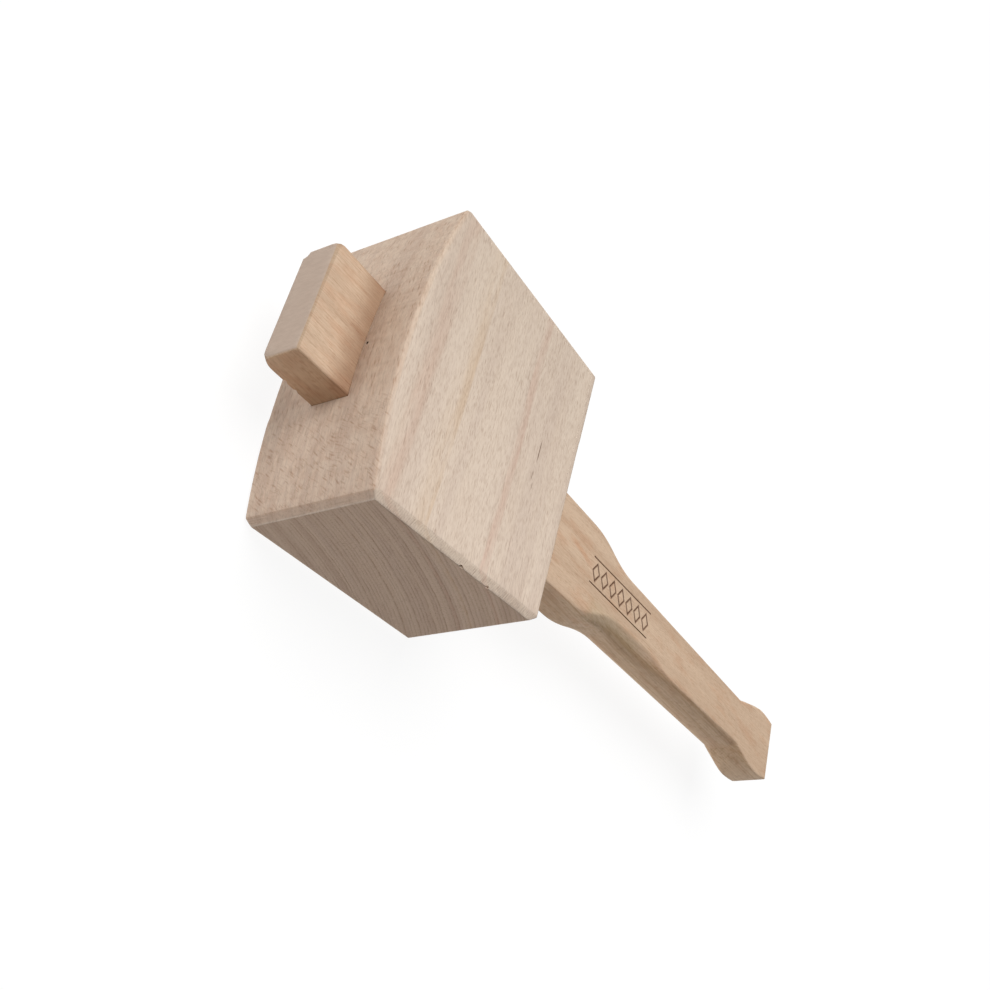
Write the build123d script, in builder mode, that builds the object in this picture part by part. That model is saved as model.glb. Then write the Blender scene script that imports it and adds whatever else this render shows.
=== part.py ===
"""Joiner's mallet in beech: a solid block head on a one-piece tapered handle.

The handle is put in from the crown, narrow end first, and its taper wedges in the head's
tapered mortise, so every swing tightens it and it is drawn out the way it went in.

Frame: +X is the striking direction, +Y runs along the handle towards the crown of the head,
and +Z is square to the cheeks. The mallet lies on its lower cheek, the plane Z = 0, and the
origin is the middle of that cheek. Sizes are in millimetres and degrees.
"""

from math import radians, sqrt, tan
import os

from build123d import *

os.makedirs("parts", exist_ok=True)

# ---- Head ----
head_length = 140.0  # between the striking faces, at the ends of the crown
head_height = 106.0  # from the underside to the middle of the crown
head_thickness = 65.0  # between the cheeks
crown_rise = 8.5  # height of the crown's arc above its ends
face_lean = 4.4  # each striking face leans in towards the hand by this angle
face_side_chamfer = 3.0  # along the striking faces' cheek edges, measured on the cheek
face_side_drop = 2.2  # the same chamfer, measured on the striking face
face_end_chamfer = 2.5  # along the striking faces' crown and underside edges
crown_edge_round = 1.6  # where the crown meets the cheeks
under_edge_round = 1.0  # where the underside meets the cheeks

# ---- Handle ----
handle_thickness = 18.5
taper = 0.0235  # each edge moves in by this much per millimetre towards the hand
under_head_width = 47.0  # the handle's width at the head's underside
top_overhang = 27.0  # how far the handle stands out of the crown
shank_below_head = 50.0  # straight shank between the head and the shoulder
shoulder_length = 38.0
shoulder_drop = 6.6  # how much the shoulder takes off each edge
inflection_at = 0.47  # where the shoulder turns from convex to hollow, as a fraction of it
grip_length = 109.0
pommel_length = 33.2
pommel_width = 34.4  # at its widest
pommel_apex = 20.5  # from the neck to the widest place
neck_round = 3.0  # the inner corner between the grip and the pommel
top_edge_round = 1.6  # round the end that stands out of the crown
pommel_edge_round = 0.8  # round the pommel's end

# ---- Stopped chamfers on the grip's four arrises ----
grip_chamfer = 3.0  # leg of the chamfer along the grip
run_in_clearance = 0.4  # how far outside the arris the chamfer starts, at the shoulder
run_out_clearance = 0.4  # how far outside the arris it ends, on the pommel
run_out_length = 19.0  # from the neck to the chamfer's end on the pommel

# ---- Engraved band above the grip: two lines with a row of open lozenges between them ----
band_below_shoulder = 30.0  # from the start of the shoulder to the band's middle
band_off_centre = 1.2  # the band lies slightly towards +X
band_length = 50.0
band_width = 13.4
band_line_width = 0.45
lozenge_count = 7
lozenge_length = 6.2
lozenge_width = 9.8
lozenge_core = 0.73  # the open middle's size, as a fraction of the lozenge
engraving_depth = 0.3

# ---- Fit of the handle in the mortise ----
side_gap = 0.15  # between the handle's broad faces and the mortise, on each side
wedge_gap = 0.04  # between the tapered edges, on each side

# ---- Levels along Y, with zero at the head's middle height ----
underside_y = -head_height / 2
crown_y = head_height / 2
crown_end_y = crown_y - crown_rise
top_y = crown_y + top_overhang
shoulder_y = underside_y - shank_below_head
grip_y = shoulder_y - shoulder_length
neck_y = grip_y - grip_length
pommel_y = neck_y - pommel_length

middle = Plane.XY.offset(head_thickness / 2)


def shank_half(y):
    """Half the width of the handle's straight taper at level y."""
    return under_head_width / 2 + taper * (y - underside_y)


# ---- Half widths ----
crown_half = head_length / 2
foot_half = crown_half - (crown_end_y - underside_y) * tan(radians(face_lean))
top_half = shank_half(top_y)
shoulder_half = shank_half(shoulder_y)
grip_half = shoulder_half - shoulder_drop
neck_half = grip_half - taper * grip_length
pommel_half = pommel_width / 2

# The pommel's edge is one arc from the neck over the widest place to the end.
pommel_bulge = pommel_half - neck_half
pommel_radius = (pommel_apex**2 + pommel_bulge**2) / (2 * pommel_bulge)
pommel_tail = pommel_length - pommel_apex
end_half = pommel_half - pommel_radius + sqrt(pommel_radius**2 - pommel_tail**2)

# ---- Head: a block with a crown, leaning striking faces and a tapered through mortise ----
mortise_low_y = underside_y - top_overhang
mortise_low = shank_half(mortise_low_y) + wedge_gap
mortise_high = top_half + wedge_gap

with BuildPart() as head:
    with BuildSketch():
        with BuildLine():
            Polyline(
                (-crown_half, crown_end_y),
                (-foot_half, underside_y),
                (foot_half, underside_y),
                (crown_half, crown_end_y),
            )
            ThreePointArc((crown_half, crown_end_y), (0, crown_y), (-crown_half, crown_end_y))
        make_face()
    extrude(amount=head_thickness)

    for end in (0, -1):
        striking_face = head.faces().sort_by(Axis.X)[end]
        chamfer(
            striking_face.edges().filter_by(Axis.Z, reverse=True),
            length=face_side_drop,
            length2=face_side_chamfer,
            reference=striking_face,
        )
    chamfer(head.edges().filter_by(Axis.Z), length=face_end_chamfer)

    fillet(head.edges().filter_by(GeomType.CIRCLE), radius=crown_edge_round)

    underside = head.faces().sort_by(Axis.Y)[0]
    fillet(underside.edges().filter_by(Axis.X), radius=under_edge_round)

    with BuildSketch(middle):
        with BuildLine():
            Polyline(
                (-mortise_low, mortise_low_y),
                (mortise_low, mortise_low_y),
                (mortise_high, top_y),
                (-mortise_high, top_y),
                close=True,
            )
        make_face()
    extrude(amount=handle_thickness / 2 + side_gap, both=True, mode=Mode.SUBTRACT)

head.part.label = "head"
export_step(head.part, "parts/head.step")

# ---- Handle: tapered shank, ogee shoulder, chamfered grip and flared pommel ----
shoulder_start = Vector(shoulder_half, shoulder_y)
shoulder_end = Vector(grip_half, grip_y)
inflection = shoulder_start + (shoulder_end - shoulder_start) * inflection_at


def across_arris(half, y):
    """Point of a chamfer's profile: u runs towards the pommel, v out along the bisector."""
    return Vector(-y, (half + handle_thickness / 2) / sqrt(2))


def lozenge(scale):
    """Corners of a lozenge whose long diagonal lies across the band."""
    along = scale * lozenge_length / 2
    across = scale * lozenge_width / 2
    return [(-along, 0), (0, -across), (along, 0), (0, across)]


run_in_start = across_arris(shoulder_half + run_in_clearance, shoulder_y)
run_in_end = across_arris(grip_half - grip_chamfer, grip_y)
run_in_turn = run_in_start + (run_in_end - run_in_start) * inflection_at
run_out_start = across_arris(neck_half - grip_chamfer, neck_y)
run_out_end = across_arris(pommel_half + run_out_clearance, neck_y - run_out_length)
well_outside = pommel_half + head_thickness  # further out than any arris
outside_start = across_arris(well_outside, shoulder_y)
outside_end = across_arris(well_outside, neck_y - run_out_length)

upper_face_z = (head_thickness + handle_thickness) / 2
line_offset = (band_width - band_line_width) / 2
lozenge_pitch = band_length / lozenge_count

with BuildPart() as handle:
    with BuildSketch(middle):
        with BuildLine():
            Polyline((0, top_y), (top_half, top_y), shoulder_start)
            convex = TangentArc(shoulder_start, inflection, tangent=(-taper, -1))
            TangentArc(inflection, shoulder_end, tangent=convex % 1)
            Line(shoulder_end, (neck_half, neck_y))
            ThreePointArc(
                (neck_half, neck_y),
                (pommel_half, neck_y - pommel_apex),
                (end_half, pommel_y),
            )
            Line((end_half, pommel_y), (0, pommel_y))
            mirror(about=Plane.YZ)
        make_face()
    extrude(amount=handle_thickness / 2, both=True)

    arrises_across = handle.edges().filter_by(Axis.Z)
    neck_corners = arrises_across.filter_by_position(Axis.Y, neck_y - 1, neck_y + 1)
    fillet(neck_corners, radius=neck_round)

    for side_x in (1, -1):
        for side_z in (1, -1):
            bisector = Plane(
                origin=middle.origin,
                x_dir=(0, -1, 0),
                z_dir=(-side_z, 0, side_x),
            )
            with BuildSketch(bisector):
                with BuildLine():
                    run_in = TangentArc(run_in_start, run_in_turn, tangent=(1, -taper / sqrt(2)))
                    TangentArc(run_in_turn, run_in_end, tangent=run_in % 1)
                    Polyline(
                        run_in_end,
                        run_out_start,
                        run_out_end,
                        outside_end,
                        outside_start,
                        run_in_start,
                    )
                make_face()
            extrude(amount=3 * grip_chamfer, both=True, mode=Mode.SUBTRACT)

    top_end = handle.faces().sort_by(Axis.Y)[-1]
    fillet(top_end.edges(), radius=top_edge_round)
    pommel_end = handle.faces().sort_by(Axis.Y)[0]
    fillet(pommel_end.edges(), radius=pommel_edge_round)

    band_plane = Plane(
        origin=(band_off_centre, shoulder_y - band_below_shoulder, upper_face_z),
        x_dir=(0, 1, 0),
        z_dir=(0, 0, 1),
    )
    with BuildSketch(band_plane):
        with Locations((0, line_offset), (0, -line_offset)):
            Rectangle(band_length, band_line_width)
        with GridLocations(lozenge_pitch, 1, lozenge_count, 1):
            Polygon(*lozenge(1))
            Polygon(*lozenge(lozenge_core), mode=Mode.SUBTRACT)
    extrude(amount=-engraving_depth, mode=Mode.SUBTRACT)

handle.part.label = "handle"
export_step(handle.part, "parts/handle.step")
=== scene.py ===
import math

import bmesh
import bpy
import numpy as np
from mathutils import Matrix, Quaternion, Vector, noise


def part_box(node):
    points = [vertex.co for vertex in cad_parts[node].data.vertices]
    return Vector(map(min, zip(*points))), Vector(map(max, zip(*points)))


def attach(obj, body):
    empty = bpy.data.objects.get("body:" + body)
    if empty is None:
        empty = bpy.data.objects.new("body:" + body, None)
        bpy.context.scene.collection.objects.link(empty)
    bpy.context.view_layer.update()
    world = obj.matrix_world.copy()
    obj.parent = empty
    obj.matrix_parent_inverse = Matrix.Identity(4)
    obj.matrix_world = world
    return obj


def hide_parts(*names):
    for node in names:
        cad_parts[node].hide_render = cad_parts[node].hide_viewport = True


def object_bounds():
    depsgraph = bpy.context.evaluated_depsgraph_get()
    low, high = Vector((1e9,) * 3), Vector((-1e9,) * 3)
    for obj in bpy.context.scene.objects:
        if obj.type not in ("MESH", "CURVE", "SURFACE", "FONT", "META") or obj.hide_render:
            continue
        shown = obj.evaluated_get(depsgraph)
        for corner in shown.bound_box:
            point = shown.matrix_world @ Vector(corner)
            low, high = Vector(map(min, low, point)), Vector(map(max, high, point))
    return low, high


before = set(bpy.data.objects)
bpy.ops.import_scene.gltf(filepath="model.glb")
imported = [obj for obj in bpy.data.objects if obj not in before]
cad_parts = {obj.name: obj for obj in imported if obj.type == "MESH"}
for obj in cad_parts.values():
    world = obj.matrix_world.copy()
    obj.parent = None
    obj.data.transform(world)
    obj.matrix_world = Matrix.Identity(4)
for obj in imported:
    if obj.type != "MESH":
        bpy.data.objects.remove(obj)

# Joiner's mallet in beech, lying on its cheek on a pale studio floor.
#
# The frame holds two CAD nodes, head and handle. A finer mesh of the same size stands for each,
# with a solid (3-D) wood material whose rings, rays and streaks follow the log it was cut from.
# Lengths are in millimetres until a mesh is made, and MM turns them into metres.

MM = 0.001
cad_low, cad_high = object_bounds()
head_low, head_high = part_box("head")
handle_low, handle_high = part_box("handle")

# ---- Head, as the CAD model has it ----
HEAD_LENGTH = 140.0  # between the striking faces, at the ends of the crown
CROWN_RISE = 8.5  # height of the crown's arc above its ends
FACE_LEAN = math.tan(math.radians(4.4))  # how far the striking faces lean in, per mm down
FACE_SIDE_CHAMFER = 3.0  # along the striking faces' cheek edges, measured on the cheek
FACE_SIDE_DROP = 2.2  # the same chamfer, measured on the striking face
FACE_END_CHAMFER = 2.5  # along the striking faces' crown and underside edges
CROWN_EDGE = 1.6  # where the crown meets the cheeks
THICKNESS = (head_high.z - head_low.z) / MM
MID_Z = THICKNESS / 2
UNDERSIDE_Y = head_low.y / MM
CROWN_Y = head_high.y / MM
CROWN_END_Y = CROWN_Y - CROWN_RISE
CROWN_RADIUS = ((HEAD_LENGTH / 2) ** 2 + CROWN_RISE**2) / (2 * CROWN_RISE)

# ---- Handle, as the CAD model has it ----
HANDLE_THICKNESS = (handle_high.z - handle_low.z) / MM
UPPER_Z = handle_high.z / MM
TOP_Y = handle_high.y / MM
POMMEL_Y = handle_low.y / MM
TAPER = 0.0235  # each edge moves in by this much per millimetre towards the hand
UNDER_HEAD_HALF = 23.5  # half the width at the head's underside
SHOULDER_Y = UNDERSIDE_Y - 50.0
GRIP_Y = SHOULDER_Y - 38.0
NECK_Y = GRIP_Y - 109.0
SHOULDER_DROP = 6.6  # how much the shoulder takes off each edge
INFLECTION_AT = 0.47  # where the shoulder turns hollow, as a fraction of it
POMMEL_HALF = 17.2  # half the width at the pommel's widest place
POMMEL_APEX = 20.5  # from the neck to that place
WEDGE_GAP = 0.04  # between the tapered edges and the mortise, on each side

# ---- Engraved band, as the CAD model has it: two lines with a row of open lozenges ----
BAND_X = 1.2
BAND_Y = SHOULDER_Y - 30.0
BAND_LENGTH = 50.0
BAND_WIDTH = 13.4
BAND_LINE = 0.45
LOZENGES = 7
LOZENGE_LENGTH = 6.2
LOZENGE_WIDTH = 9.8
LOZENGE_CORE = 0.73  # the open middle's size, as a fraction of the lozenge
ENGRAVING_DEPTH = 0.3

# ---- Of these finer meshes only ----
UNDER_EDGE = 0.9  # where the underside meets the cheeks
EASING = 0.5  # how far the head's arrises are rounded over
SIDE_GAP = 0.06  # between the handle's broad faces and the mortise, on each side
HAND_DEPTH = 0.10  # how far hand work has sunk the surfaces, at most
BAND_MARGIN = 0.5  # how far the fine mesh reaches past the band
CHIP_X, CHIP_Z = -2.0, UPPER_Z + 1.5  # a chip on the crown, beside the mortise

# ---- The logs, each with its pith along the piece and at this place across it ----
HEAD_PITH_Y, HEAD_PITH_Z = 105.0, -228.0
HANDLE_PITH_X, HANDLE_PITH_Z = -150.0, -75.0


# ---- Mesh helpers ----
def link(name, mesh):
    """A new object in the scene for this mesh."""
    piece = bpy.data.objects.new(name, mesh)
    bpy.context.scene.collection.objects.link(piece)
    return piece


def apply_modifiers(piece):
    """Turns the piece's modifiers into its mesh."""
    depsgraph = bpy.context.evaluated_depsgraph_get()
    old = piece.data
    mesh = bpy.data.meshes.new_from_object(piece.evaluated_get(depsgraph))
    piece.modifiers.clear()
    piece.data = mesh
    mesh.name = old.name
    bpy.data.meshes.remove(old)


def read_vectors(items, field):
    """One 3-D field of a mesh's points, as an array."""
    flat = np.empty(len(items) * 3, np.float32)
    items.foreach_get(field, flat)
    return flat.reshape(-1, 3).astype(float)


def points_of(mesh):
    """The mesh's points, in millimetres."""
    return read_vectors(mesh.vertices, "co") / MM


def move_points(mesh, points):
    """Puts the mesh's points at these places, in millimetres."""
    mesh.vertices.foreach_set("co", (points * MM).astype(np.float32).ravel())
    mesh.update()


def hand_worked(mesh, depth, wavelength):
    """Sinks the surface by up to depth, unevenly, as a plane and sandpaper leave it."""
    points = points_of(mesh)
    waves = np.array([noise.noise(Vector(p) / wavelength) for p in points])
    normals = read_vectors(mesh.vertices, "normal")
    move_points(mesh, points - normals * (depth * (0.5 + 0.5 * waves))[:, None])


def smooth_with_arrises(mesh, degrees):
    """Smooth shading, with a crease wherever faces meet at more than this angle."""
    mesh.shade_smooth()
    mesh.set_sharp_from_angle(angle=math.radians(degrees))


def smoothstep(low, high, value):
    """0 at low and 1 at high, with a smooth step between them; high may be the lower one."""
    t = np.clip((value - low) / (high - low), 0.0, 1.0)
    return t * t * (3 - 2 * t)


def stretch(start, end, steps):
    """The inner points of a stretch from start to end that is cut into this many steps."""
    return list(np.linspace(start, end, steps + 1))[1:-1]


def shank_half(y):
    """Half the handle's width at level y of its straight taper."""
    return UNDER_HEAD_HALF + TAPER * (y - UNDERSIDE_Y)


# ---- Head ----
def head_lines():
    """Where the block's lattice lies along X, Y and Z, with the mortise's walls on its lines."""
    slot = shank_half(CROWN_Y) + WEDGE_GAP
    slot_z = HANDLE_THICKNESS / 2 + SIDE_GAP
    beside = list(np.linspace(slot, HEAD_LENGTH / 2, 6))
    xs = [-x for x in reversed(beside)] + stretch(-slot, slot, 6) + beside
    ys = list(np.linspace(UNDERSIDE_Y, CROWN_END_Y, 12))
    below = list(np.linspace(0, MID_Z - slot_z, 4))
    zs = below + [MID_Z] + [THICKNESS - z for z in reversed(below)]
    return xs, ys, zs, slot, slot_z


def head_lattice():
    """A plain block with a straight through mortise, its outer edges weighted for chamfers."""
    xs, ys, zs, slot, slot_z = head_lines()
    bm = bmesh.new()
    made = {}

    def corner(i, j, k):
        if (i, j, k) not in made:
            made[i, j, k] = bm.verts.new(Vector((xs[i], ys[j], zs[k])) * MM)
        return made[i, j, k]

    def solid(i, j, k):
        """Whether the lattice cell i, j, k is wood."""
        inside = 0 <= i < len(xs) - 1 and 0 <= j < len(ys) - 1 and 0 <= k < len(zs) - 1
        if not inside:
            return False
        middle_x = (xs[i] + xs[i + 1]) / 2
        middle_z = (zs[k] + zs[k + 1]) / 2
        return abs(middle_x) > slot or abs(middle_z - MID_Z) > slot_z

    for i in range(len(xs)):
        for j in range(len(ys)):
            for k in range(len(zs)):
                here = solid(i, j, k)
                if here != solid(i - 1, j, k):
                    ring = [(i, j, k), (i, j + 1, k), (i, j + 1, k + 1), (i, j, k + 1)]
                    bm.faces.new([corner(*c) for c in ring])
                if here != solid(i, j - 1, k):
                    ring = [(i, j, k), (i + 1, j, k), (i + 1, j, k + 1), (i, j, k + 1)]
                    bm.faces.new([corner(*c) for c in ring])
                if here != solid(i, j, k - 1):
                    ring = [(i, j, k), (i + 1, j, k), (i + 1, j + 1, k), (i, j + 1, k)]
                    bm.faces.new([corner(*c) for c in ring])
    bmesh.ops.recalc_face_normals(bm, faces=bm.faces)
    weigh_edges(bm)
    mesh = bpy.data.meshes.new("head_surface")
    bm.to_mesh(mesh)
    bm.free()
    return mesh


def weigh_edges(bm):
    """Bevel weights for the block's outer edges, as shares of the widest chamfer."""
    weight = bm.edges.layers.float.new("bevel_weight_edge")
    close = 0.01
    for edge in bm.edges:
        a, b = (v.co / MM for v in edge.verts)
        on_face = min(abs(a.x), abs(b.x)) > HEAD_LENGTH / 2 - close
        on_cheek = max(a.z, b.z) < close or min(a.z, b.z) > THICKNESS - close
        on_crown = min(a.y, b.y) > CROWN_END_Y - close
        on_underside = max(a.y, b.y) < UNDERSIDE_Y + close
        if on_face and on_cheek:
            edge[weight] = 1.0
        elif on_face and (on_crown or on_underside):
            edge[weight] = FACE_END_CHAMFER / FACE_SIDE_CHAMFER
        elif on_cheek and on_crown:
            edge[weight] = CROWN_EDGE / FACE_SIDE_CHAMFER
        elif on_cheek and on_underside:
            edge[weight] = UNDER_EDGE / FACE_SIDE_CHAMFER


def flattened(z):
    """Draws the side chamfers towards the cheeks, so that they drop less than they run in."""
    depth = np.minimum(z, THICKNESS - z)
    eased = 4 * FACE_SIDE_CHAMFER
    heights = [0.0, FACE_SIDE_CHAMFER, eased, THICKNESS]
    shallow = np.interp(depth, heights, [0.0, FACE_SIDE_DROP, eased, THICKNESS])
    return np.where(z < MID_Z, shallow, THICKNESS - shallow)


def square_mouths(points):
    """Squares the mortise's two mouths again, which the easing rounded with the other arrises."""
    x, y, z = points.T
    off_x, off_z = np.abs(x), np.abs(z - MID_Z)
    _, _, _, slot, slot_z = head_lines()
    reach = EASING + 0.01
    at_mouth = np.minimum(y - UNDERSIDE_Y, CROWN_END_Y - y) < reach
    beside = at_mouth & (np.abs(off_z - slot_z) < reach) & (off_x < slot + reach)
    ending = at_mouth & (np.abs(off_x - slot) < reach) & (off_z < slot_z + reach)
    z = np.where(beside, MID_Z + np.sign(z - MID_Z) * slot_z, z)
    x = np.where(ending, np.sign(x) * slot, x)
    return np.stack([x, y, z], axis=1)


def head_warp(points):
    """Bends the block to the head's shape: crown, leaning striking faces, tapered mortise."""
    x, y, z = points.T
    half = HEAD_LENGTH / 2
    slot = shank_half(CROWN_Y) + WEDGE_GAP
    height = CROWN_END_Y - UNDERSIDE_Y
    lift = np.sqrt(CROWN_RADIUS**2 - x**2) - CROWN_RADIUS + CROWN_RISE
    y = UNDERSIDE_Y + (y - UNDERSIDE_Y) * (height + lift) / height
    mortise = shank_half(y) + WEDGE_GAP
    face = half - (CROWN_END_Y - y) * FACE_LEAN
    inner = np.abs(x) * mortise / slot
    outer = mortise + (np.abs(x) - slot) * (face - mortise) / (half - slot)
    x = np.sign(x) * np.where(np.abs(x) <= slot, inner, outer)
    on_mortise = np.abs(x) <= mortise + 1.0
    return np.stack([x, y, np.where(on_mortise, z, flattened(z))], axis=1)


def face_x(y):
    """How far a striking face stands from the middle at level y."""
    return HEAD_LENGTH / 2 - (CROWN_END_Y - y) * FACE_LEAN


def gouge(bm, place, size, turn):
    """A small jagged lump for cutting a nick: its size along X, Y and Z, turned about Z."""
    jag_depth, jags_across = 0.35, 2.3
    made = bmesh.ops.create_icosphere(bm, subdivisions=2, radius=1.0)
    spin = Quaternion((0, 0, 1), math.radians(turn))
    for vert in made["verts"]:
        jag = 1 + jag_depth * noise.noise(vert.co * jags_across + Vector(place))
        local = Vector(c * s for c, s in zip(vert.co * jag, size))
        vert.co = (spin @ local + Vector(place)) * MM


def cut_nicks(piece, nicks):
    """Takes small chips out of the piece's arrises."""
    bm = bmesh.new()
    for place, size, turn in nicks:
        gouge(bm, place, size, turn)
    mesh = bpy.data.meshes.new("nicks")
    bm.to_mesh(mesh)
    bm.free()
    cutter = link("nick_cutter", mesh)
    modifier = piece.modifiers.new("nicks", "BOOLEAN")
    modifier.operation = "DIFFERENCE"
    modifier.solver = "EXACT"
    modifier.object = cutter
    apply_modifiers(piece)
    bpy.data.objects.remove(cutter)


def make_head():
    """The head's mesh: a block chamfered, eased, bent to its shape, hand worked and nicked."""
    piece = link("head_block", head_lattice())
    chamfers = piece.modifiers.new("chamfers", "BEVEL")
    chamfers.limit_method = "WEIGHT"
    chamfers.offset_type = "OFFSET"
    chamfers.width = FACE_SIDE_CHAMFER * MM
    chamfers.segments = 1
    easing = piece.modifiers.new("easing", "BEVEL")
    easing.limit_method = "ANGLE"
    easing.angle_limit = math.radians(20)
    easing.width = EASING * MM
    easing.segments = 3
    dense = piece.modifiers.new("dense", "SUBSURF")
    dense.subdivision_type = "SIMPLE"
    dense.levels = 2
    dense.render_levels = 2
    apply_modifiers(piece)
    move_points(piece.data, head_warp(square_mouths(points_of(piece.data))))
    hand_worked(piece.data, HAND_DEPTH, wavelength=28.0)
    lip_z = THICKNESS - FACE_SIDE_DROP
    nicks = [
        # place, size along X, Y and Z, and turn
        ((-face_x(-7) + 0.1, -7.0, lip_z), (0.9, 1.3, 0.7), 0.0),
        ((-face_x(-23) + 0.1, -23.0, lip_z), (0.8, 0.9, 0.6), 20.0),
        ((CHIP_X, CROWN_Y - 0.3, CHIP_Z), (0.75, 1.2, 0.65), 15.0),
    ]
    cut_nicks(piece, nicks)
    smooth_with_arrises(piece.data, 28)
    return piece


# ---- Handle ----
def arc_offset(distance, radius):
    """How far an arc has left its tangent after this distance along it."""
    return radius - np.sqrt(np.maximum(radius**2 - distance**2, 0.0))


def handle_half(y):
    """Half the handle's width at level y: shank, ogee shoulder, grip and pommel."""
    length = SHOULDER_Y - GRIP_Y
    fall = SHOULDER_DROP - TAPER * length
    turn = 2 * math.atan(fall / length)
    span = length / math.sin(turn)
    turn_y = SHOULDER_Y - length * INFLECTION_AT
    if y > turn_y:
        drop = arc_offset(max(SHOULDER_Y - y, 0.0), span * INFLECTION_AT)
    else:
        drop = fall - arc_offset(max(y - GRIP_Y, 0.0), span * (1 - INFLECTION_AT))
    if y >= NECK_Y:
        return float(shank_half(y) - drop)
    bulge = POMMEL_HALF - (shank_half(NECK_Y) - fall)
    radius = (POMMEL_APEX**2 + bulge**2) / (2 * bulge)
    return float(POMMEL_HALF - arc_offset(abs(y - (NECK_Y - POMMEL_APEX)), radius))


def arris_sizes(y):
    """Sizes of the worked arrises at level y, as (width on the broad face, height on the side):
    of the upper one towards -X, which is scooped out below the shoulder, and of the others."""
    crisp, grip, even, scoop = 0.5, 1.9, 2.3, 5.2
    begun = smoothstep(SHOULDER_Y + 4, SHOULDER_Y - 26, y)
    past_scoop = smoothstep(GRIP_Y - 20, GRIP_Y - 44, y)
    past_neck = smoothstep(NECK_Y - 6, NECK_Y - 22, y)
    scooped = crisp + (scoop - crisp) * begun + (grip - scoop) * past_scoop
    scooped += (crisp - grip) * past_neck
    on_grip = smoothstep(SHOULDER_Y - 4, GRIP_Y + 4, y) * (1 - past_neck)
    height = crisp + (0.44 * HANDLE_THICKNESS - crisp) * on_grip
    return (scooped, max(scooped, height)), (crisp + (even - crisp) * on_grip, height)


def eased_corner(half_x, half_z, width, height):
    """A quarter of the section: it leaves the narrow side softly and meets the broad face
    at a slight angle, as a spokeshave leaves it. Points go from the side to the face."""
    fullness = 0.62
    lift = height - fullness * width
    corner = []
    for t in np.linspace(0, 1, 13):
        x = half_x - width * t * t
        z = half_z - height * (1 - t * t) + 2 * t * (1 - t) * lift
        corner.append((x, z))
    return corner


def ring_of(y, inset):
    """One ring round the handle at level y, drawn in by inset, as (x, y, z) points."""
    half_x = handle_half(y) - inset
    half_z = HANDLE_THICKNESS / 2 - inset
    least = 0.12  # no arris is drawn smaller than this
    scooped, even = arris_sizes(y)
    scoop = eased_corner(half_x, half_z, *(max(size - inset, least) for size in scooped))
    quarter = eased_corner(half_x, half_z, *(max(size - inset, least) for size in even))
    corners = [
        quarter,
        [(-x, z) for x, z in reversed(scoop)],
        [(-x, -z) for x, z in quarter],
        [(x, -z) for x, z in reversed(quarter)],
    ]

    right, left = corners[0][-1][0], corners[1][0][0]
    widest = 0.85  # the share of the face that the band's fine mesh may take up
    beside_band, across_band, lower_steps, side_steps = 8, 72, 24, 10
    band_right = min(BAND_X + BAND_WIDTH / 2 + BAND_MARGIN, widest * right)
    band_left = max(BAND_X - BAND_WIDTH / 2 - BAND_MARGIN, widest * left)
    upper = stretch(right, band_right, beside_band) + [band_right]
    upper += stretch(band_right, band_left, across_band) + [band_left]
    upper += stretch(band_left, left, beside_band)
    outer_z = stretch(corners[1][-1][1], corners[2][0][1], side_steps)
    lower = stretch(corners[2][-1][0], corners[3][0][0], lower_steps)
    inner_z = stretch(corners[3][-1][1], corners[0][0][1], side_steps)

    ring = corners[0] + [(x, half_z) for x in upper]
    ring += corners[1] + [(-half_x, z) for z in outer_z]
    ring += corners[2] + [(x, -half_z) for x in lower]
    ring += corners[3] + [(half_x, z) for z in inner_z]
    return [(x, y, MID_Z + z) for x, z in ring]


def rounded_end(end_y, inwards, radius):
    """Levels and insets of an end's face and rounded edge, from its middle outwards."""
    face_insets = (8.9, 7.0, 5.0, 3.0)
    face = [(end_y, inset) for inset in face_insets]
    edge = []
    for angle in np.radians(np.linspace(0, 90, 6)):
        level = end_y + inwards * radius * (1 - math.cos(angle))
        edge.append((level, radius * (1 - math.sin(angle))))
    return face + edge


def handle_levels():
    """All the handle's rings as (y, inset), closest together where the band is engraved."""
    top_edge, pommel_edge = 1.3, 0.8
    band_top = BAND_Y + BAND_LENGTH / 2 + BAND_MARGIN
    band_end = BAND_Y - BAND_LENGTH / 2 - BAND_MARGIN
    runs = [
        # from this level to that one, in this many steps
        (TOP_Y - top_edge, SHOULDER_Y, 100),
        (SHOULDER_Y, band_top, 4),
        (band_top, band_end, 252),
        (band_end, NECK_Y, 62),
        (NECK_Y, POMMEL_Y + pommel_edge, 26),
    ]
    levels = rounded_end(TOP_Y, -1, top_edge)
    for start, end, steps in runs:
        levels += [(y, 0.0) for y in np.linspace(start, end, steps + 1)[1:]]
    return levels + list(reversed(rounded_end(POMMEL_Y, 1, pommel_edge)))[1:]


def band_distance(x, y):
    """How far each point of the upper face is outside the band's strokes, in millimetres."""
    across = x - BAND_X
    along = y - BAND_Y
    line_middle = (BAND_WIDTH - BAND_LINE) / 2
    beside_line = np.abs(np.abs(across) - line_middle) - BAND_LINE / 2
    past_end = np.abs(along) - BAND_LENGTH / 2
    lines = np.maximum(beside_line, past_end)
    pitch = BAND_LENGTH / LOZENGES
    in_row = np.clip(np.round(along / pitch), -(LOZENGES // 2), LOZENGES // 2)
    local = along - in_row * pitch
    share = 2 * np.abs(local) / LOZENGE_LENGTH + 2 * np.abs(across) / LOZENGE_WIDTH
    per_mm = math.hypot(2 / LOZENGE_LENGTH, 2 / LOZENGE_WIDTH)
    lozenges = (np.abs(share - (1 + LOZENGE_CORE) / 2) - (1 - LOZENGE_CORE) / 2) / per_mm
    return np.minimum(lines, lozenges)


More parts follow.
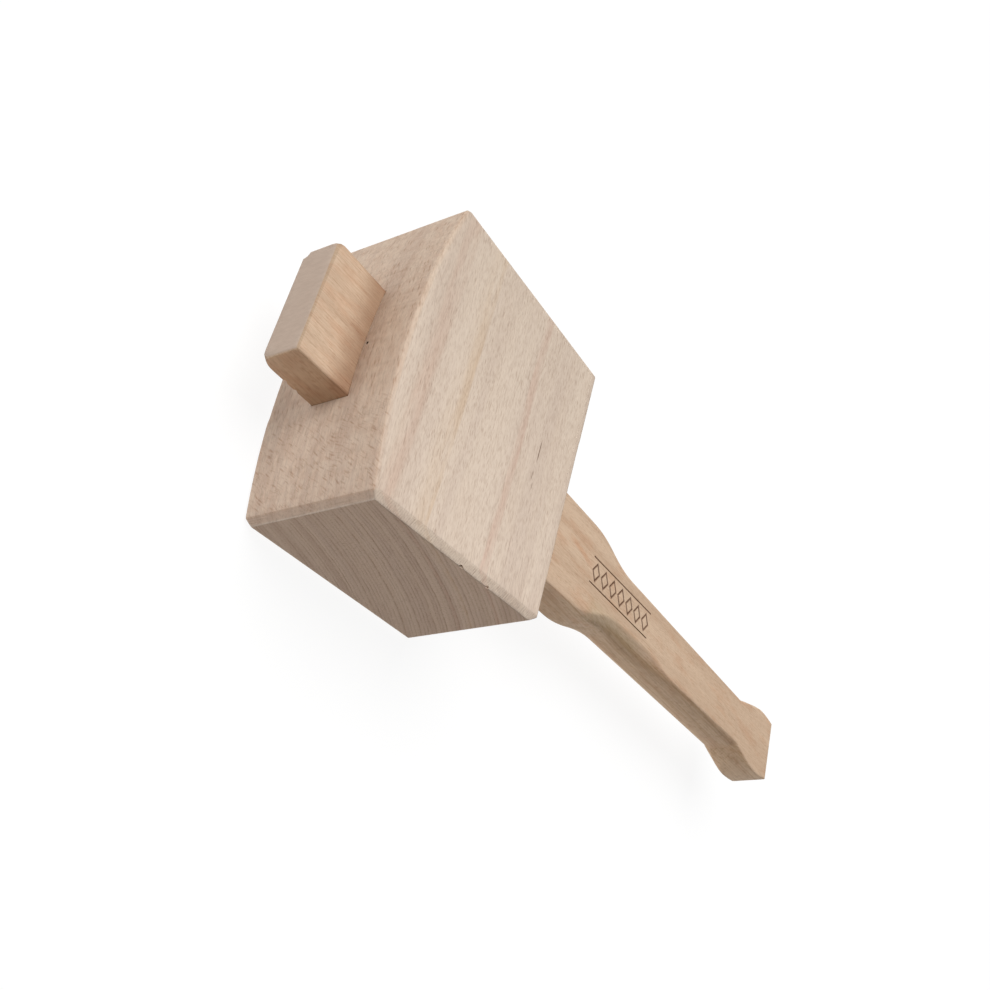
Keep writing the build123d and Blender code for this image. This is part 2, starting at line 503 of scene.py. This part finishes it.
def engrave(mesh):
    """Sinks the band's strokes into the upper face and records how scorched each point is."""
    wall_top, wall_foot = 0.08, -0.16
    scorch_starts, scorch_full = 0.30, -0.12
    far_away = 10.0
    points = points_of(mesh)
    x, y, z = points.T
    on_upper_face = z > UPPER_Z - 0.4
    distance = np.where(on_upper_face, band_distance(x, y), far_away)
    points[:, 2] -= ENGRAVING_DEPTH * smoothstep(wall_top, wall_foot, distance)
    move_points(mesh, points)
    scorch = smoothstep(scorch_starts, scorch_full, distance)
    burn = mesh.attributes.new("burn", "FLOAT", "POINT")
    burn.data.foreach_set("value", scorch.astype(np.float32))


def wear_top_end(mesh):
    """Wears the end that stands out of the crown: two of its corners, and the upper arris."""
    half = handle_half(TOP_Y)
    spots = [
        # where it is worn, how far the wear reaches along X, Y and Z, and how deep it is:
        # the corner towards -X and down, the one towards +X and up, and the upper arris
        ((-half, -1), (5.0, 7.0, 5.0), (0.9, 1.3, 1.6)),
        ((half, 1), (4.5, 4.5, 4.5), (0.9, 1.1, 0.5)),
        ((half, 1), (44.0, 3.4, 3.4), (0.0, 0.6, 0.55)),
    ]
    points = points_of(mesh)
    for (corner_x, up), reach, depth in spots:
        corner = np.array([corner_x, TOP_Y, MID_Z + up * HANDLE_THICKNESS / 2])
        inwards = np.array([-np.sign(corner_x), -1.0, -up])
        share = ((points - corner) * inwards / reach).sum(axis=1)
        worn = np.clip(1 - share, 0.0, 1.0) ** 2
        points = points + worn[:, None] * depth * inwards
    move_points(mesh, points)


def make_handle():
    """The handle's mesh: rings joined into a closed skin, then worn, engraved and chipped."""
    levels = handle_levels()
    rings = [ring_of(y, inset) for y, inset in levels]
    count = len(rings[0])
    faces = []
    for r in range(len(rings) - 1):
        here, there = r * count, (r + 1) * count
        for n in range(count):
            after = (n + 1) % count
            faces.append((here + n, here + after, there + after, there + n))
    faces.append(tuple(reversed(range(count))))
    faces.append(tuple(range((len(rings) - 1) * count, len(rings) * count)))
    mesh = bpy.data.meshes.new("handle_surface")
    mesh.from_pydata([Vector(p) * MM for ring in rings for p in ring], [], faces)
    bm = bmesh.new()
    bm.from_mesh(mesh)
    bmesh.ops.recalc_face_normals(bm, faces=bm.faces)
    bm.to_mesh(mesh)
    bm.free()
    wear_top_end(mesh)
    hand_worked(mesh, HAND_DEPTH, wavelength=26.0)
    engrave(mesh)
    piece = link("handle_shaft", mesh)
    cut_nicks(piece, handle_nicks())
    smooth_with_arrises(piece.data, 40)
    return piece


def handle_nicks():
    """Chips in the end above the crown: a split corner, and two bites in a lower arris."""
    low_z = MID_Z - HANDLE_THICKNESS / 2
    split = (handle_half(TOP_Y) - 0.4, TOP_Y - 0.3, low_z + 1.2)
    nicks = [(split, (3.0, 1.6, 2.5), 0.0)]
    for y, size in ((66.8, 1.3), (61.0, 1.1)):
        nicks.append(((-handle_half(y), y, low_z), (size, size, size), 0.0))
    return nicks


# ---- Materials ----
def display(red, green, blue):
    """A colour as it looks on a screen, from 0 to 255, as the linear colour a shader takes."""
    linear = []
    for value in (red, green, blue):
        share = value / 255
        linear.append(share / 12.92 if share <= 0.04045 else ((share + 0.055) / 1.055) ** 2.4)
    return (*linear, 1.0)


class Graph:
    """One material, with short calls for the nodes that it is made of."""

    def __init__(self, name):
        self.material = bpy.data.materials.new(name)
        self.material.use_nodes = True
        self.tree = self.material.node_tree
        self.tree.nodes.clear()

    def add(self, kind, feeds, **settings):
        """A node with these settings, its inputs set to values or linked to sockets."""
        node = self.tree.nodes.new(kind)
        for name, value in settings.items():
            setattr(node, name, value)
        for name, value in feeds.items():
            if isinstance(value, bpy.types.NodeSocket):
                self.tree.links.new(value, node.inputs[name])
            else:
                node.inputs[name].default_value = value
        return node

    def math(self, operation, a, b=0.0):
        return self.add("ShaderNodeMath", {0: a, 1: b}, operation=operation).outputs[0]

    def sum(self, *terms):
        total = terms[0]
        for term in terms[1:]:
            total = self.math("ADD", total, term)
        return total

    def product(self, *factors):
        total = factors[0]
        for factor in factors[1:]:
            total = self.math("MULTIPLY", total, factor)
        return total

    def split(self, vector):
        """The X, Y and Z of a vector."""
        return list(self.add("ShaderNodeSeparateXYZ", {0: vector}).outputs)

    def join(self, x, y, z):
        return self.add("ShaderNodeCombineXYZ", {0: x, 1: y, 2: z}).outputs[0]

    def scaled(self, vector, factors):
        feeds = {0: vector, 1: factors}
        return self.add("ShaderNodeVectorMath", feeds, operation="MULTIPLY").outputs[0]

    def step(self, value, low, high):
        """0 at low and 1 at high, with a smooth step between; high may be the lower one."""
        feeds = {"Value": value, "From Min": low, "From Max": high}
        settings = {"interpolation_type": "SMOOTHSTEP"}
        return self.add("ShaderNodeMapRange", feeds, **settings).outputs[0]

    def window(self, value, low, high, soft):
        """1 where value lies from low to high, fading over soft outside them."""
        return self.product(
            self.step(value, low - soft, low), self.step(value, high + soft, high)
        )

    def noise(self, vector, sizes, detail=2.0, roughness=0.5):
        """Noise from 0 to 1 with features of these sizes along the vector's three parts."""
        cells = self.scaled(vector, tuple(1 / s for s in sizes))
        feeds = {"Vector": cells, "Scale": 1.0, "Detail": detail, "Roughness": roughness}
        return self.add("ShaderNodeTexNoise", feeds).outputs[0]

    def sway(self, vector, sizes, amount, detail=1.0):
        """Noise from -amount to amount."""
        return self.math(
            "MULTIPLY", self.sum(self.noise(vector, sizes, detail), -0.5), 2 * amount
        )

    def spots(self, vector, sizes, outer, inner, kept):
        """Scattered lens-shaped spots, at most one in each cell of these sizes."""
        cells = self.scaled(vector, tuple(1 / s for s in sizes))
        voronoi = self.add("ShaderNodeTexVoronoi", {"Vector": cells, "Scale": 1.0})
        shape = self.step(voronoi.outputs["Distance"], outer, inner)
        chance = self.split(voronoi.outputs["Color"])[0]
        return self.product(shape, self.step(chance, kept + 0.15, kept - 0.15))

    def mix(self, factor, a, b, mode="MIX"):
        """Colour a turning to colour b as factor goes from 0 to 1."""
        feeds = {0: factor, 6: a, 7: b}
        settings = {"data_type": "RGBA", "blend_type": mode}
        return self.add("ShaderNodeMix", feeds, **settings).outputs[2]

    def tint(self, colour, factor, by):
        """The colour, multiplied by these shares of red, green and blue where factor is 1."""
        return self.mix(factor, colour, (*by, 1.0), "MULTIPLY")

    def surface(self, colour, roughness, height, depth):
        """Finishes the material as bare wood, its height worked into the shading."""
        bump = self.add("ShaderNodeBump", {"Strength": 0.7, "Distance": depth, "Height": height})
        feeds = {
            "Base Color": colour,
            "Roughness": roughness,
            "Specular IOR Level": 0.3,
            "Normal": bump.outputs[0],
        }
        shader = self.add("ShaderNodeBsdfPrincipled", feeds)
        self.add("ShaderNodeOutputMaterial", {"Surface": shader.outputs[0]})
        return self.material


def coordinates(g):
    """The place on the piece in millimetres, and how squarely it faces X, Y and Z."""
    source = g.add("ShaderNodeTexCoord", {})
    place = g.scaled(source.outputs["Object"], (1 / MM, 1 / MM, 1 / MM))
    facing = [g.math("ABSOLUTE", part) for part in g.split(source.outputs["Normal"])]
    return place, facing


def log_place(g, along, side, out, wander):
    """A place in the log: along its length, round its rings and out from its pith."""
    around = g.math("ARCTAN2", side, out)
    reach = g.math("SQRT", g.sum(g.product(side, side), g.product(out, out)))
    reach = g.sum(reach, wander)
    return g.join(along, g.product(around, reach), reach), reach


def latewood(g, reach, spacing):
    """Growth rings of uneven width: each darkens slowly outwards and ends sharply."""
    line = g.join(reach, 0.0, 0.0)
    uneven = g.sway(line, (7.0, 1.0, 1.0), 1.3)
    phase = g.math("FRACT", g.sum(g.product(reach, 1 / spacing), uneven))
    strength = g.step(g.noise(line, (2.6, 1.0, 1.0)), 0.25, 0.75)
    return g.product(g.step(phase, 0.50, 0.96), g.sum(g.product(strength, 0.8), 0.2))


def reach_at(y):
    """How far from the log's pith the upper cheek lies at level y."""
    return math.hypot(y - HEAD_PITH_Y, THICKNESS - HEAD_PITH_Z)


def band_on_cheek(g, reach, low_y, high_y, soft):
    """1 in the growth rings that come out on the upper cheek from low_y to high_y."""
    return g.window(reach, reach_at(high_y), reach_at(low_y), soft)


def head_wood():
    """Pale steamed beech, flat-sawn on the cheeks, with end grain on the striking faces."""
    g = Graph("beech_of_head")
    place, facing = coordinates(g)
    x, y, z = g.split(place)
    wander = g.sum(g.sway(place, (140.0, 40.0, 40.0), 0.5), g.sway(place, (50.0, 8.0, 8.0), 0.3))
    out_y, out_z = g.sum(y, -HEAD_PITH_Y), g.sum(z, -HEAD_PITH_Z)
    log, reach = log_place(g, x, out_y, out_z, wander)
    end_grain = g.step(facing[0], 0.93, 0.99)
    crown = g.step(facing[1], 0.35, 0.85)
    long_grain = g.sum(1.0, g.product(end_grain, -0.85))

    zones = g.step(g.noise(log, (170.0, 90.0, 3.4), 3.0), 0.42, 0.68)
    colour = g.mix(zones, display(223, 205, 188), display(215, 196, 180))
    clouds = g.step(g.noise(log, (55.0, 16.0, 9.0), 3.0), 0.35, 0.75)
    colour = g.tint(colour, g.product(clouds, 0.5), (0.97, 0.95, 0.93))
    colour = head_streaks(g, colour, log, reach)

    rings = latewood(g, reach, spacing=1.7)
    broken = g.step(g.noise(log, (8.0, 6.0, 0.9), 3.0), 0.30, 0.62)
    ring_strength = g.sum(0.10, g.product(end_grain, broken, 0.90), g.product(crown, -0.05))
    colour = g.tint(colour, g.product(rings, ring_strength), (0.70, 0.64, 0.58))
    colour, relief = head_fibres(g, colour, place, log, crown, end_grain, long_grain)

    colour = head_tones_and_painted_light(g, colour, place, facing, crown)
    colour = end_grain_tone_and_painted_shade(g, colour, reach, end_grain)
    colour, ribs = head_chamfers(g, colour, place, facing, wander, broken)
    colour = g.tint(colour, cheek_crack(g, place, x, y, z), (0.30, 0.22, 0.18))
    # painted shade inside the chip beside the mortise
    colour = g.tint(colour, chip_painted_shade(g, x, y, z), (0.25, 0.18, 0.14))

    height = g.sum(relief, g.product(ribs, -0.3), g.product(rings, end_grain, -0.6))
    roughness = g.sum(0.60, g.product(relief, 0.08), g.product(end_grain, 0.12))
    return g.surface(colour, roughness, height, 0.16 * MM)


def head_tones_and_painted_light(g, colour, place, facing, crown):
    """Browner on the crown, partly its own tone and partly painted shade; painted shade on its
    eased arrises, a painted highlight on the crown beside them, and painted shade that leaves the
    head paler towards -X.
    """
    x, _, z = g.split(place)
    # partly painted shade: the crown is tinted browner, partly for its own tone and partly for
    # the shade it lies in
    colour = g.tint(colour, crown, (0.96, 0.905, 0.86))
    # painted shade on the eased arrises between crown and cheeks, patchy along them
    eased = g.product(g.step(facing[1], 0.12, 0.35), g.step(facing[2], 0.12, 0.35))
    patchy = g.sum(0.6, g.product(g.noise(place, (9.0, 5.0, 5.0), 3.0), 0.8))
    colour = g.tint(colour, g.product(eased, patchy), (0.89, 0.88, 0.87))
    off_middle = g.math("ABSOLUTE", g.sum(z, -MID_Z))
    # painted highlight on the crown where it rounds over towards the cheeks
    painted_highlight_beside_arris = g.product(crown, g.step(off_middle, MID_Z - 5.0, MID_Z - 1.0))
    colour = g.tint(colour, painted_highlight_beside_arris, (1.06, 1.06, 1.06))
    # painted shade: darker towards +X, a gradient of light across the head
    painted_shade_along_head = g.step(x, -HEAD_LENGTH / 2, HEAD_LENGTH / 2)
    return g.tint(colour, painted_shade_along_head, (0.92, 0.925, 0.915))


def end_grain_tone_and_painted_shade(g, colour, reach, end_grain):
    """The darker end grain of the striking faces, in broad bands of rings: partly the end grain's
    own colour, partly painted shade.
    """
    # partly painted shade: the end grain is darkened by face direction beyond its own darker
    # colour
    colour = g.tint(colour, end_grain, (0.771, 0.685, 0.626))
    bands = g.step(g.noise(g.join(reach, 0.0, 0.0), (4.5, 1.0, 1.0), 2.0), 0.38, 0.64)
    return g.tint(colour, g.product(bands, end_grain), (0.93, 0.91, 0.89))


def head_chamfers(g, colour, place, facing, wander, broken):
    """The chamfers round the striking faces, and the ribs that the cutter left on them; the end
    chamfers darker, partly for their end grain and partly as painted shade, and a painted
    highlight on the -X face's side chamfers towards the upper cheek.
    """
    x, y, z = g.split(place)
    # end chamfers: partly their darker end-grain colour, partly painted shade
    end_chamfer = g.product(g.step(facing[0], 0.45, 0.6), g.step(facing[1], 0.45, 0.6))
    colour = g.tint(colour, end_chamfer, (0.90, 0.84, 0.80))
    chamfer = g.product(g.step(facing[0], 0.35, 0.5), g.step(facing[2], 0.25, 0.45))
    # painted highlight on the -X face's side chamfers towards the upper cheek
    painted_highlight_upper_left = g.product(g.step(x, 20.0, -20.0), g.step(z, 20.0, 45.0))
    colour = g.tint(colour, g.product(chamfer, painted_highlight_upper_left), (1.22, 1.22, 1.21))
    rib_pitch = 1.05
    waves = g.sum(g.product(y, 2 * math.pi / rib_pitch), g.product(wander, 6.0))
    chatter = g.step(g.math("SINE", waves), -0.4, 1.0)
    ribs = g.product(chamfer, chatter, g.step(broken, -0.4, 0.8))
    return g.tint(colour, g.product(ribs, 0.7), (0.88, 0.86, 0.84)), ribs


def head_streaks(g, colour, log, reach):
    """Pink and amber streaks that run the length of the cheeks."""
    broken = g.sum(g.product(g.noise(log, (24.0, 5.0, 2.0), 3.0), 1.6), -0.25)
    broken = g.step(broken, 0.0, 1.0)
    pink = g.product(band_on_cheek(g, reach, -17.5, -15.0, 0.6), g.sum(broken, 0.20))
    colour = g.tint(colour, g.product(pink, 0.80), (0.92, 0.82, 0.80))
    near_crown = g.product(band_on_cheek(g, reach, 38.0, 42.0, 0.7), broken)
    colour = g.tint(colour, g.product(near_crown, 0.8), (0.93, 0.84, 0.81))
    soft_side = g.step(reach, reach_at(28.0), reach_at(18.0))
    sharp_side = g.step(reach, reach_at(16.8), reach_at(17.6))
    amber = g.product(soft_side, sharp_side, broken)
    return g.tint(colour, amber, (0.93, 0.865, 0.78))


def head_fibres(g, colour, place, log, crown, end_grain, long_grain):
    """Fibres, rays and flecks, and the relief that they leave in the planed surface."""
    slant = -0.11
    along, around, out = g.split(log)
    log = g.join(along, g.sum(around, g.product(along, slant)), out)
    coarse = g.noise(log, (5.0, 0.85, 0.9), 2.0, 0.6)
    fine = g.noise(log, (2.6, 0.38, 0.4), 2.0, 0.6)
    fibres = g.sum(g.product(coarse, 0.5), g.product(fine, 0.5))
    dark_fibres = g.product(g.step(fibres, 0.52, 0.36), long_grain)
    light_fibres = g.product(g.step(fibres, 0.52, 0.66), long_grain)
    colour = g.tint(colour, g.product(dark_fibres, 0.80), (0.82, 0.785, 0.765))
    colour = g.tint(colour, g.product(light_fibres, 0.80), (1.08, 1.08, 1.08))

    dense = g.step(g.noise(log, (30.0, 6.0, 6.0), 2.0), 0.25, 0.65)
    fine_rays = g.spots(log, (3.2, 0.52, 20.0), 0.46, 0.14, 0.8)
    long_rays = g.spots(g.scaled(log, (1.0, 1.0, -1.0)), (6.5, 0.9, 30.0), 0.34, 0.10, 0.5)
    rays = g.math("MAXIMUM", g.product(fine_rays, 0.8), long_rays)
    rays = g.product(rays, long_grain, g.sum(1.0, g.product(crown, -0.6)))
    rays = g.product(rays, g.sum(g.product(dense, 0.6), 0.4))
    colour = g.tint(colour, g.product(rays, 0.70), (0.72, 0.64, 0.59))

    flecks = g.product(crown_flecks(g, place), crown, long_grain)
    colour = g.tint(colour, g.product(flecks, 0.85), (0.76, 0.66, 0.60))
    mottle = g.step(g.noise(place, (5.0, 9.0, 4.0), 3.0, 0.6), 0.36, 0.68)
    colour = g.tint(colour, g.product(mottle, crown, 0.9), (0.91, 0.85, 0.82))
    pores = g.step(g.noise(place, (3.0, 0.7, 0.7), 3.0, 0.7), 0.50, 0.30)
    colour = g.tint(colour, g.product(pores, end_grain, 0.95), (0.78, 0.75, 0.73))
    relief = g.sum(fibres, g.product(rays, -0.5), g.product(flecks, -0.3))
    return colour, relief


def crown_flecks(g, place):
    """Dark flecks on the crown: along the grain by the handle, slanting near one end."""
    x, _, z = g.split(place)
    bend = g.sway(place, (16.0, 30.0, 12.0), 1.6)
    straight = g.join(x, 0.0, g.sum(z, g.product(x, 0.10), bend))
    along = g.spots(straight, (5.0, 2.0, 1.1), 0.44, 0.10, 0.55)
    slant_u = g.sum(g.product(x, -0.58), g.product(z, 0.81))
    slant_v = g.sum(g.product(x, 0.81), g.product(z, 0.58), bend)
    slanting = g.spots(g.join(slant_u, 0.0, slant_v), (6.0, 2.0, 1.15), 0.44, 0.10, 0.62)
    weave = g.step(g.noise(g.join(slant_u, 0.0, slant_v), (4.5, 1.0, 0.7), 2.0, 0.6), 0.48, 0.32)
    near_end = g.step(x, -20.0, -38.0)
    slanting = g.math("MAXIMUM", slanting, g.product(weave, 0.6))
    return g.sum(g.product(slanting, near_end), g.product(along, g.step(x, -40.0, -22.0)))


def chip_painted_shade(g, x, y, z):
    """Painted shade inside the small chip beside the mortise."""
    off = [g.sum(x, -CHIP_X), g.sum(y, 0.6 - CROWN_Y), g.sum(z, -CHIP_Z)]
    distance = g.math("SQRT", g.sum(*(g.product(part, part) for part in off)))
    return g.step(distance, 0.95, 0.55)


def cheek_crack(g, place, x, y, z):
    """A fine drying crack along the upper cheek, in three stepped lengths."""
    # where each length starts and ends along X, its level, and how dark it is
    lengths = [
        (-4.5, 10.5, -29.7, 0.90),
        (-12.5, -5.5, -29.0, 0.60),
        (-16.0, -11.0, -30.3, 0.55),
    ]
    wobble = g.sway(place, (5.0, 40.0, 40.0), 0.35)
    crack = 0.0
    for start, end, level, depth in lengths:
        half_length = (end - start) / 2
        along = g.math("ABSOLUTE", g.sum(x, -(start + end) / 2))
        taper = g.step(along, half_length, 0.3 * half_length)
        off = g.math("ABSOLUTE", g.sum(y, -level, wobble))
        off = g.math("SUBTRACT", off, g.product(taper, 0.24))
        crack = g.math("MAXIMUM", crack, g.product(g.step(off, 0.1, -0.1), taper, depth))
    return g.product(crack, g.step(z, THICKNESS - 7.0, THICKNESS - 5.0))


def handle_wood():
    """Warmer beech with its grain along the handle, oiled, with the scorched band."""
    g = Graph("beech_of_handle")
    place, facing = coordinates(g)
    x, y, z = g.split(place)
    wander = g.sway(place, (38.0, 130.0, 38.0), 2.2, 2.0)
    out_x, out_z = g.sum(x, -HANDLE_PITH_X), g.sum(z, -HANDLE_PITH_Z)
    log, reach = log_place(g, y, out_x, out_z, wander)
    end_grain = g.step(facing[1], 0.80, 0.97)
    long_grain = g.sum(1.0, g.product(end_grain, -0.9))
    fade_from, fade_to = CROWN_Y - 60.0, CROWN_Y - 3.0  # hidden in the mortise at rest
    above_head = g.step(y, fade_from, fade_to)

    zones = g.step(g.noise(log, (150.0, 30.0, 5.0), 3.0), 0.35, 0.70)
    colour = g.mix(zones, display(208, 182, 157), display(198, 171, 146))
    blush = g.step(g.noise(place, (6.0, 20.0, 8.0), 3.0, 0.6), 0.46, 0.68)
    colour = g.tint(colour, g.product(blush, 0.85), (0.94, 0.85, 0.80))
    pale = g.step(g.noise(place, (8.0, 24.0, 9.0), 3.0), 0.52, 0.74)
    colour = g.tint(colour, g.product(pale, 0.7), (1.04, 1.05, 1.05))
    colour = handle_stain_and_painted_shade(g, colour, place, x, y, z)

    colour, rings = handle_rings(g, colour, log, reach, facing, above_head)
    colour, fibres, rays = handle_fibres(g, colour, log, long_grain)
    colour = g.tint(colour, g.step(facing[0], 0.60, 0.90), (1.005, 0.955, 0.86))
    colour = top_end_darkening(g, colour, place, y, facing, above_head)
    colour = g.mix(g.product(end_grain, 0.85), colour, display(194, 174, 159))
    rough_end = g.step(g.noise(place, (1.2, 1.2, 4.0), 3.0, 0.6), 0.35, 0.70)
    colour = g.tint(colour, g.product(end_grain, rough_end, 0.6), (0.88, 0.86, 0.84))

    burn = g.add("ShaderNodeAttribute", {}, attribute_name="burn").outputs["Fac"]
    uneven = g.sum(0.72, g.product(g.noise(place, (1.2, 1.2, 1.2), 3.0), 0.5))
    colour = g.mix(g.math("MINIMUM", g.product(burn, uneven), 1.0), colour, display(98, 68, 48))

    height = g.sum(fibres, g.product(rays, -0.3), g.product(rings, -0.25))
    roughness = g.sum(0.52, g.product(fibres, 0.12), g.product(end_grain, 0.14))
    return g.surface(colour, roughness, height, 0.13 * MM)


def handle_rings(g, colour, log, reach, facing, above_head):
    """Growth rings, strongest on the narrow sides and on the end above the crown."""
    below_head = g.sum(1.0, g.product(above_head, -1.0))
    side_grain = g.product(g.step(facing[0], 0.40, 0.80), below_head)
    rings = latewood(g, reach, spacing=1.05)
    broken = g.step(g.noise(log, (11.0, 3.0, 1.0), 3.0), 0.35, 0.62)
    ring_strength = g.sum(0.12, g.product(above_head, broken, 0.75), g.product(side_grain, 0.70))
    colour = g.tint(colour, g.product(rings, ring_strength), (0.84, 0.76, 0.70))
    stripes = g.step(g.noise(log, (60.0, 2.0, 1.3), 3.0, 0.6), 0.46, 0.62)
    return g.tint(colour, g.product(stripes, side_grain), (0.88, 0.83, 0.77)), rings


def handle_fibres(g, colour, log, long_grain):
    """Fibres and fine rays along the handle."""
    coarse = g.noise(log, (8.0, 0.9, 0.9), 2.0, 0.6)
    fine = g.noise(log, (3.2, 0.38, 0.38), 2.0, 0.6)
    fibres = g.sum(g.product(coarse, 0.5), g.product(fine, 0.5))
    dark_fibres = g.product(g.step(fibres, 0.52, 0.36), long_grain)
    light_fibres = g.product(g.step(fibres, 0.52, 0.66), long_grain)
    colour = g.tint(colour, g.product(dark_fibres, 0.85), (0.85, 0.81, 0.78))
    colour = g.tint(colour, g.product(light_fibres, 0.80), (1.08, 1.08, 1.08))
    rays = g.product(g.spots(log, (3.0, 0.5, 16.0), 0.44, 0.14, 0.6), long_grain)
    return g.tint(colour, g.product(rays, 0.45), (0.76, 0.66, 0.58)), fibres, rays


def handle_stain_and_painted_shade(g, colour, place, x, y, z):
    """A reddish stain below the head, and an olive painted shade on the scooped arris under the
    shoulder.
    """
    stain_x, stain_y, stain_slant = 4.5, SHOULDER_Y + 5.0, -0.18
    stain_along = g.sum(y, -stain_y)
    drift = g.product(stain_along, stain_slant)
    stain_across = g.sum(x, -stain_x, drift, g.sway(place, (9, 9, 9), 1.5))
    stain = g.product(
        g.step(g.math("ABSOLUTE", stain_along), 12.0, 3.0),
        g.step(g.math("ABSOLUTE", stain_across), 2.4, 0.4),
        g.step(z, MID_Z, UPPER_Z),
    )
    colour = g.tint(colour, g.product(stain, 0.80), (0.90, 0.74, 0.66))
    # olive painted shade on the scooped arris under the shoulder
    olive_painted_shade = g.product(
        g.window(y, GRIP_Y - 9.0, SHOULDER_Y - 13.0, 9.0),
        g.step(x, -8.0, -14.0),
        g.step(z, MID_Z + 2, UPPER_Z - 2),
    )
    return g.tint(colour, g.product(olive_painted_shade, 0.6), (0.86, 0.91, 0.86))


def top_end_darkening(g, colour, place, y, facing, above_head):
    """The end above the crown: browner sides, painted shade on its arrises, and darker towards
    its foot at the crown.
    """
    face_x_side, face_y_end, face_z = facing
    side = g.product(g.step(face_x_side, 0.75, 0.95), above_head)
    colour = g.tint(colour, side, (0.90, 0.81, 0.757))
    wave = g.sway(place, (12.0, 12.0, 12.0), 2.0)
    foot = g.product(g.step(g.sum(y, wave), CROWN_Y + 15, CROWN_Y + 1), above_head)
    foot = g.product(foot, g.sum(1.0, g.product(side, -0.5)))
    colour = g.tint(colour, foot, (0.565, 0.485, 0.43))
    # painted shade on the rounded arrises of the end and of its long edges
    end_arris_shade = g.product(g.step(face_y_end, 0.15, 0.4), g.step(face_z, 0.15, 0.4), above_head)
    colour = g.tint(colour, end_arris_shade, (0.78, 0.76, 0.72))
    long_arris_shade = g.product(g.step(face_x_side, 0.15, 0.4), g.step(face_z, 0.15, 0.4), above_head)
    return g.tint(colour, long_arris_shade, (0.80, 0.75, 0.71))


def studio_paper(name, glow):
    """Matt white background paper with a faint tooth, lit a little from behind."""
    g = Graph(name)
    place, _ = coordinates(g)
    tooth = g.noise(place, (1.2, 1.2, 1.2), 3.0)
    colour = g.mix(tooth, (0.085, 0.085, 0.085, 1.0), (0.10, 0.10, 0.10, 1.0))
    paper = g.surface(colour, 0.9, tooth, 0.02 * MM)
    shader = g.tree.nodes["Principled BSDF"]
    shader.inputs["Emission Color"].default_value = (1.0, 1.0, 1.0, 1.0)
    shader.inputs["Emission Strength"].default_value = glow
    return paper


# ---- Studio ----
FLOOR_HALF = 20.0  # metres
BACKDROP_HEIGHT = 10.0  # metres
FLOOR_GLOW = 0.91
BACKDROP_GLOW = 1.0


def make_floor():
    """A large pale sheet that the lower cheek lies on."""
    bm = bmesh.new()
    bmesh.ops.create_grid(bm, x_segments=24, y_segments=24, size=FLOOR_HALF)
    mesh = bpy.data.meshes.new("studio_floor")
    bm.to_mesh(mesh)
    bm.free()
    floor = link("studio_floor", mesh)
    clearance = 0.02 * MM
    floor.location.z = cad_low.z - clearance
    mesh.materials.append(studio_paper("floor_paper", FLOOR_GLOW))


def make_backdrop():
    """A white wall far round the floor, which is seen behind the mallet but lights nothing."""
    bm = bmesh.new()
    bmesh.ops.create_cone(
        bm, segments=96, radius1=FLOOR_HALF, radius2=FLOOR_HALF, depth=BACKDROP_HEIGHT
    )
    bmesh.ops.reverse_faces(bm, faces=bm.faces)
    mesh = bpy.data.meshes.new("studio_backdrop")
    bm.to_mesh(mesh)
    bm.free()
    wall = link("studio_backdrop", mesh)
    wall.location.z = BACKDROP_HEIGHT / 2
    wall.visible_diffuse = False
    wall.visible_glossy = False
    wall.visible_transmission = False
    wall.visible_shadow = False
    paper = studio_paper("backdrop_paper", BACKDROP_GLOW)
    paper.cycles.emission_sampling = "NONE"
    mesh.materials.append(paper)


def make_sun(name, direction, strength, softness, tint):
    """A distant light that shines from this direction; its softness is in degrees."""
    light = bpy.data.lights.new(name, "SUN")
    light.energy = strength
    light.angle = math.radians(softness)
    light.color = tint
    lamp = bpy.data.objects.new(name, light)
    lamp.rotation_mode = "QUATERNION"
    lamp.rotation_quaternion = Vector(direction).to_track_quat("Z", "Y")
    bpy.context.scene.collection.objects.link(lamp)


def make_lights():
    """One soft light from above, towards +X and the crown, with weak even light all round."""
    world = bpy.data.worlds.new("studio_air")
    world.use_nodes = True
    background = world.node_tree.nodes["Background"]
    background.inputs["Color"].default_value = (1.0, 1.0, 1.0, 1.0)
    background.inputs["Strength"].default_value = 0.03
    bpy.context.scene.world = world
    make_sun(
        "key",
        direction=(0.33, 0.30, 0.88),
        strength=3.45,
        softness=50.0,
        tint=(1.0, 0.995, 0.985),
    )
    bpy.context.scene.view_settings.view_transform = "Standard"


def make_camera():
    """Looks down on the mallet's head from the crown's side, rolled to set it on a slant."""
    target = Vector((-0.4, -45.6, MID_Z)) * MM
    distance = 587.0 * MM
    azimuth, elevation, roll = math.radians(-138.06), math.radians(35.47), math.radians(77.97)
    level = math.cos(elevation)
    back = Vector((math.sin(azimuth) * level, -math.cos(azimuth) * level, math.sin(elevation)))
    data = bpy.data.cameras.new("camera")
    data.lens = 51.3
    data.sensor_width = 36.0
    data.clip_start = 0.01
    data.clip_end = 50.0
    camera = bpy.data.objects.new("camera", data)
    camera.location = target + back * distance
    camera.rotation_mode = "QUATERNION"
    facing = (-back).to_track_quat("-Z", "Y")
    camera.rotation_quaternion = facing @ Quaternion((0, 0, 1), roll)
    bpy.context.scene.collection.objects.link(camera)
    bpy.context.scene.camera = camera


def place_piece(piece, material, node, body):
    """Gives a piece its material, puts it on its body and hides the CAD node that it stands for.
    """
    piece.data.materials.clear()
    piece.data.materials.append(material)
    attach(piece, body)
    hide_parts(node)


make_camera()
make_lights()
make_floor()
make_backdrop()
place_piece(make_head(), head_wood(), "head", "head")
place_piece(make_handle(), handle_wood(), "handle", "handle")
